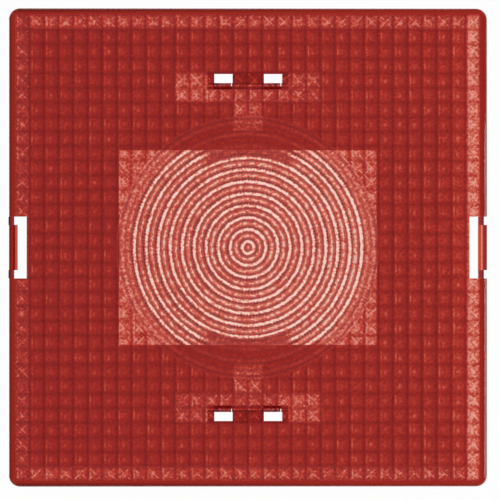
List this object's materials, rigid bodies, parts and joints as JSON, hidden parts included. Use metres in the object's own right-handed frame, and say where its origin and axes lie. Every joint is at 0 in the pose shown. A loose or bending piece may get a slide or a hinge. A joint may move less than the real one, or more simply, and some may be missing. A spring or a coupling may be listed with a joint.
{
  "type": "indicator light lens",
  "caption": "Square clip-on lens hood of clear red plastic, with a grid of small prisms and a lens of concentric rings on its inner side.",
  "frame": {"origin": "middle of the skirt's rear edge, on the surface that the hood stands on", "axes": "+Z out of the front face, +Y towards the upper pair of snap hooks, +X to the right as seen from the front"},
  "size_m": [0.055, 0.055, 0.008],
  "materials": {
    "clear_red_plastic": "polished, transparent"
  },
  "bodies": {
    "root": {"lens_hood": "clear_red_plastic"}
  },
  "joints": []
}
